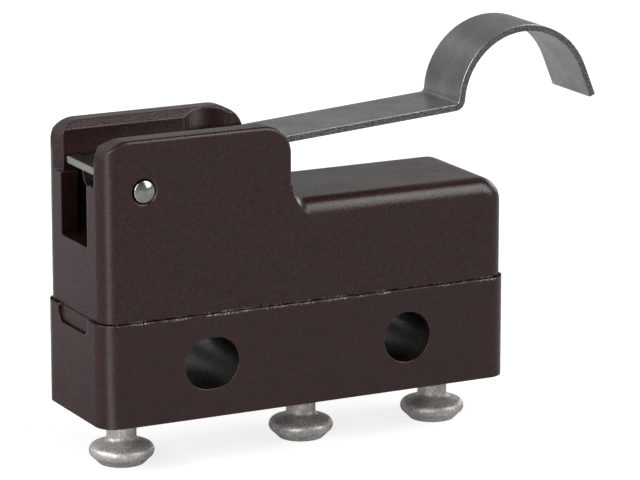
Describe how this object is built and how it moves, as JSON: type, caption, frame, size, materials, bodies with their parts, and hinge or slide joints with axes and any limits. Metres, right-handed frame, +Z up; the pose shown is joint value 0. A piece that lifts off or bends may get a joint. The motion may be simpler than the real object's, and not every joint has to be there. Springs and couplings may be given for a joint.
{
  "type": "snap-action switch",
  "caption": "Compact snap-action switch with a moulded housing, a pivoted sheet-metal lever that ends in a rounded loop, and turned solder terminals below.",
  "frame": {"origin": "centre of the round mounting hole on the switch's middle plane", "axes": "+X along the housing, from the pivot pin towards the lever's loop; +Y along the mounting hole; +Z up, from the terminals to the lever"},
  "size_m": [0.0251, 0.0064, 0.0181],
  "materials": {
    "housing_plastic": "moulded thermoset, matte",
    "lever_steel": "rolled sheet, dull",
    "pin_steel": "drawn",
    "plunger_plastic": "moulded",
    "tinned_brass": "turned and tinned",
    "contact_brass": "stamped",
    "contact_silver": "silver faced",
    "spring_copper": "rolled spring copper"
  },
  "bodies": {
    "housing": {"base": "housing_plastic", "cover": "housing_plastic", "pivot_pin": "pin_steel", "common_terminal": "tinned_brass", "normally_open_terminal": "tinned_brass", "normally_closed_terminal": "tinned_brass", "common_anchor": "contact_brass", "normally_open_strip": "contact_brass", "normally_closed_strip": "contact_brass", "normally_open_contact": "contact_silver", "normally_closed_contact": "contact_silver", "snap_spring": "spring_copper"},
    "lever": {"lever": "lever_steel"},
    "plunger": {"plunger": "plunger_plastic"},
    "moving_contact": {"moving_contact": "contact_silver"}
  },
  "joints": [
    {"name": "lever_pivot", "type": "hinge", "parent": "housing", "child": "lever", "pos_m": [-0.01259, 0, 0.00786], "axis": [0, 1, 0], "range_deg": [0, 6], "stiffness_Nm_per_rad": 0.02, "springref_deg": -11.46},
    {"name": "plunger_travel", "type": "slide", "parent": "housing", "child": "plunger", "axis": [0, 0, -1], "range_m": [0, 0.00056], "deforming": ["snap_spring"]},
    {"name": "contact_travel", "type": "slide", "parent": "housing", "child": "moving_contact", "axis": [0, 0, -1], "range_m": [0, 0.00034], "deforming": ["snap_spring"]}
  ],
  "couplings": [
    {"joint": "plunger_travel", "follows": "lever_pivot", "m_per_rad": 0.0052427},
    {"joint": "contact_travel", "follows": "lever_pivot", "m_per_rad": 0.0031513}
  ]
}
